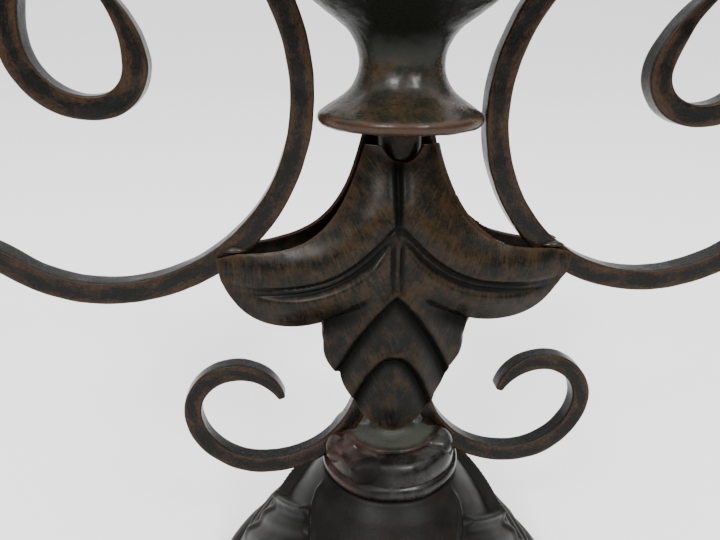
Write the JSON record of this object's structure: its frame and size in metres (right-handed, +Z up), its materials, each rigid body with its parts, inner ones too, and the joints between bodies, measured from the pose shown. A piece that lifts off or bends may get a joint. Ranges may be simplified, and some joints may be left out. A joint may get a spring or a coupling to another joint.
{
  "type": "candelabra",
  "caption": "Table candelabra of bent square bar: scroll arms held between stamped leaves, flared candle cups that turn on studs, C-scrolls and a domed base.",
  "frame": {"origin": "on the table under the middle of the base", "axes": "+Z up along the stem; +X along the arms, to the right as the front is seen; +Y to the back"},
  "size_m": [0.4468, 0.15, 0.2798],
  "materials": {
    "bronze_paint": "rubbed bronze paint, satin lacquer",
    "base_paint": "rubbed bronze paint, softer and greyer",
    "leaf_paint": "rubbed bronze paint with brush marks",
    "plain_steel": "plain",
    "felt": "pressed felt"
  },
  "bodies": {
    "stand": {"back_leaf": "leaf_paint", "base_collar": "base_paint", "base_dome": "base_paint", "base_felt_ring": "felt", "base_nut": "plain_steel", "base_washer": "plain_steel", "centre_cup_nut": "plain_steel", "centre_cup_washer": "plain_steel", "collar_weld_beads": "bronze_paint", "front_leaf": "leaf_paint", "leaf_weld_beads": "bronze_paint", "left_cup_ferrule": "bronze_paint", "left_cup_nut": "plain_steel", "left_cup_stud": "plain_steel", "left_cup_washer": "plain_steel", "left_lower_scroll": "bronze_paint", "left_scroll_arm": "bronze_paint", "right_cup_ferrule": "bronze_paint", "right_cup_nut": "plain_steel", "right_cup_stud": "plain_steel", "right_cup_washer": "plain_steel", "right_lower_scroll": "bronze_paint", "right_scroll_arm": "bronze_paint", "stem_tube": "bronze_paint", "tie_rod": "plain_steel"},
    "left_cup_body": {"left_cup": "bronze_paint", "left_candle_socket": "bronze_paint"},
    "centre_cup_body": {"centre_cup": "bronze_paint", "centre_candle_socket": "bronze_paint"},
    "right_cup_body": {"right_cup": "bronze_paint", "right_candle_socket": "bronze_paint"}
  },
  "joints": [
    {"name": "left_cup_turn", "type": "hinge", "parent": "stand", "child": "left_cup_body", "pos_m": [-0.18739, 0, 0.20469], "axis": [0, 0, 1], "continuous": true},
    {"name": "centre_cup_turn", "type": "hinge", "parent": "stand", "child": "centre_cup_body", "pos_m": [0, 0, 0.207], "axis": [0, 0, 1], "continuous": true},
    {"name": "right_cup_turn", "type": "hinge", "parent": "stand", "child": "right_cup_body", "pos_m": [0.18739, 0, 0.20469], "axis": [0, 0, 1], "continuous": true}
  ]
}
